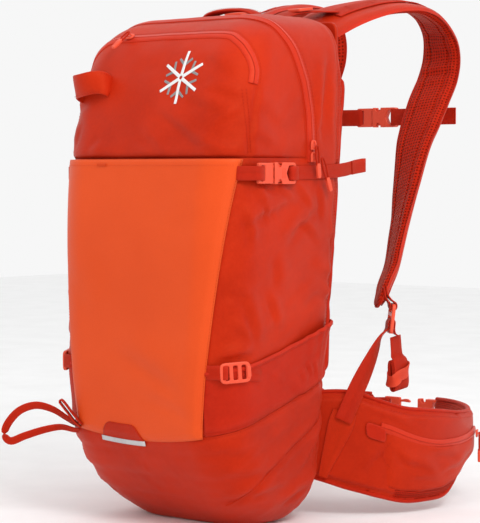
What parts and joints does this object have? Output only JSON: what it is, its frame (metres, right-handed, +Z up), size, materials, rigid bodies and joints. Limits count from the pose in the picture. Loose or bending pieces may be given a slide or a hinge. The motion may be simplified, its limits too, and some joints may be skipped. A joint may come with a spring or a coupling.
{
  "type": "ski backpack",
  "caption": "Ski touring backpack: lofted fabric bag on a frame sheet, front-opening lid, smooth front panel, curved shoulder straps, sternum strap, padded hip belt.",
  "frame": {"origin": "on the flat base, in the plane of symmetry of the bag", "axes": "+X to the wearer's right, +Y the way the wearer faces (the back panel faces +Y), +Z up"},
  "size_m": [0.3658, 0.5689, 0.592],
  "materials": {
    "red_nylon": "ripstop nylon, slight sheen",
    "orange_laminate": "smooth coated laminate, satin",
    "red_mesh": "spacer mesh over foam, matt",
    "red_webbing": "woven webbing, matt",
    "coral_plastic": "moulded acetal, satin",
    "zip_tape": "laminated zip tape, satin",
    "reflective": "retroreflective tape",
    "frame_plastic": "polyethylene sheet, matt",
    "stay_metal": "brushed",
    "stretch_fabric": "stretch woven, matt"
  },
  "bodies": {
    "pack": {"back_pad": "red_mesh", "back_wall": "red_nylon", "base_panel": "red_nylon", "compression_buckle_males": "coral_plastic", "compression_straps": "red_webbing", "frame_sheet": "frame_plastic", "frame_stays": "stay_metal", "front_panel": "orange_laminate", "front_panel_tab": "red_nylon", "front_wall": "red_nylon", "harness_yoke": "red_nylon", "haul_handle": "red_webbing", "hood_top": "red_nylon", "load_lifters": "red_webbing", "lower_compression_straps": "red_webbing", "lower_ladder_locks": "coral_plastic", "lumbar_pad": "red_mesh", "main_zip_rear_tape": "zip_tape", "reflective_strip": "reflective", "shoulder_strap_left": "red_mesh", "shoulder_strap_right": "red_mesh", "side_pocket_left": "stretch_fabric", "side_pocket_right": "stretch_fabric", "side_wall_left": "red_nylon", "side_wall_right": "red_nylon", "ski_loop": "red_webbing", "strap_gussets": "red_nylon", "strap_ladder_locks": "coral_plastic", "strap_webbing": "red_webbing", "tool_tab": "red_webbing"},
    "lid": {"lid_front": "red_nylon", "lid_top": "red_nylon", "lid_side_right": "red_nylon", "lid_side_left": "red_nylon", "main_zip_front_tape": "zip_tape", "lid_pocket_zip": "zip_tape", "pole_loop": "red_nylon"},
    "lid_slider": {"lid_pocket_slider": "coral_plastic"},
    "lid_pull": {"lid_pocket_pull": "coral_plastic"},
    "upper_slider": {"main_slider_upper": "coral_plastic"},
    "lower_slider": {"main_slider_lower": "coral_plastic"},
    "upper_pull": {"main_pull_upper": "coral_plastic"},
    "lower_pull": {"main_pull_lower": "coral_plastic"},
    "roll_right": {"webbing_roll_right": "red_webbing"},
    "roll_left": {"webbing_roll_left": "red_webbing"},
    "buckle_right": {"compression_buckle_right": "coral_plastic"},
    "buckle_left": {"compression_buckle_left": "coral_plastic"},
    "belt_right": {"belt_wing_right": "red_nylon", "belt_pocket_right": "red_nylon", "belt_webbing_right": "red_webbing"},
    "belt_left": {"belt_wing_left": "red_nylon", "belt_pocket_left": "red_nylon", "belt_webbing_left": "red_webbing", "belt_buckle_male": "coral_plastic"},
    "belt_buckle": {"belt_buckle_female": "coral_plastic"},
    "belt_slider_r": {"belt_slider_right": "coral_plastic"},
    "belt_slider_l": {"belt_slider_left": "coral_plastic"},
    "sternum": {"sternum_webbing": "red_webbing", "sternum_buckle_male": "coral_plastic"},
    "sternum_buckle": {"sternum_buckle_female": "coral_plastic"}
  },
  "joints": [
    {"name": "lid_hinge", "type": "hinge", "parent": "pack", "child": "lid", "pos_m": [0, -0.097, 0.3997], "axis": [1, 0, 0], "range_deg": [0, 95]},
    {"name": "upper_slider_travel", "type": "slide", "parent": "pack", "child": "upper_slider", "axis": [-0.02, -0.02, 0.9996], "range_m": [0, 0.045]},
    {"name": "lower_slider_travel", "type": "slide", "parent": "pack", "child": "lower_slider", "axis": [0, 0, 1], "range_m": [0, 0.0015]},
    {"name": "upper_pull_swing", "type": "hinge", "parent": "upper_slider", "child": "upper_pull", "pos_m": [0.1365, 0.04, 0.4124], "axis": [0, -1, 0], "range_deg": [0, 110]},
    {"name": "lower_pull_swing", "type": "hinge", "parent": "lower_slider", "child": "lower_pull", "pos_m": [0.1365, 0.05, 0.3994], "axis": [0, -1, 0], "range_deg": [0, 110]},
    {"name": "lid_slider_travel", "type": "slide", "parent": "lid", "child": "lid_slider", "axis": [1, 0, 0], "range_m": [0, 0.11]},
    {"name": "lid_pull_swing", "type": "hinge", "parent": "lid_slider", "child": "lid_pull", "pos_m": [-0.058, -0.04667, 0.53912], "axis": [-1, 0, 0], "range_deg": [0, 120]},
    {"name": "roll_right_swing", "type": "hinge", "parent": "pack", "child": "roll_right", "pos_m": [0.146, 0.178, 0.2], "axis": [1, 0, 0], "range_deg": [-10, 45]},
    {"name": "roll_left_swing", "type": "hinge", "parent": "pack", "child": "roll_left", "pos_m": [-0.146, 0.178, 0.2], "axis": [1, 0, 0], "range_deg": [-10, 45]},
    {"name": "buckle_right_release", "type": "slide", "parent": "pack", "child": "buckle_right", "axis": [0, 1, 0], "range_m": [0, 0.03]},
    {"name": "buckle_left_release", "type": "slide", "parent": "pack", "child": "buckle_left", "axis": [0, 1, 0], "range_m": [0, 0.03]},
    {"name": "belt_right_swing", "type": "hinge", "parent": "pack", "child": "belt_right", "pos_m": [0.126, 0.128, 0.08], "axis": [0, 0, -1], "range_deg": [0, 40], "stiffness_Nm_per_rad": 0.3},
    {"name": "belt_left_swing", "type": "hinge", "parent": "pack", "child": "belt_left", "pos_m": [-0.126, 0.128, 0.08], "axis": [0, 0, 1], "range_deg": [0, 40], "stiffness_Nm_per_rad": 0.3},
    {"name": "belt_buckle_adjust", "type": "slide", "parent": "belt_right", "child": "belt_buckle", "axis": [1, 0, 0], "range_m": [0, 0.01]},
    {"name": "belt_slider_right_travel", "type": "hinge", "parent": "belt_right", "child": "belt_slider_r", "pos_m": [0, 0.232, 0.085], "axis": [0, 0, -1], "range_deg": [0, 36]},
    {"name": "belt_slider_left_travel", "type": "hinge", "parent": "belt_left", "child": "belt_slider_l", "pos_m": [0, 0.232, 0.085], "axis": [0, 0, 1], "range_deg": [0, 36]},
    {"name": "sternum_height", "type": "slide", "parent": "pack", "child": "sternum", "axis": [0, 0.585, 0.811], "range_m": [-0.015, 0.015]},
    {"name": "sternum_release", "type": "slide", "parent": "sternum", "child": "sternum_buckle", "axis": [1, 0, 0], "range_m": [0, 0.03]}
  ]
}
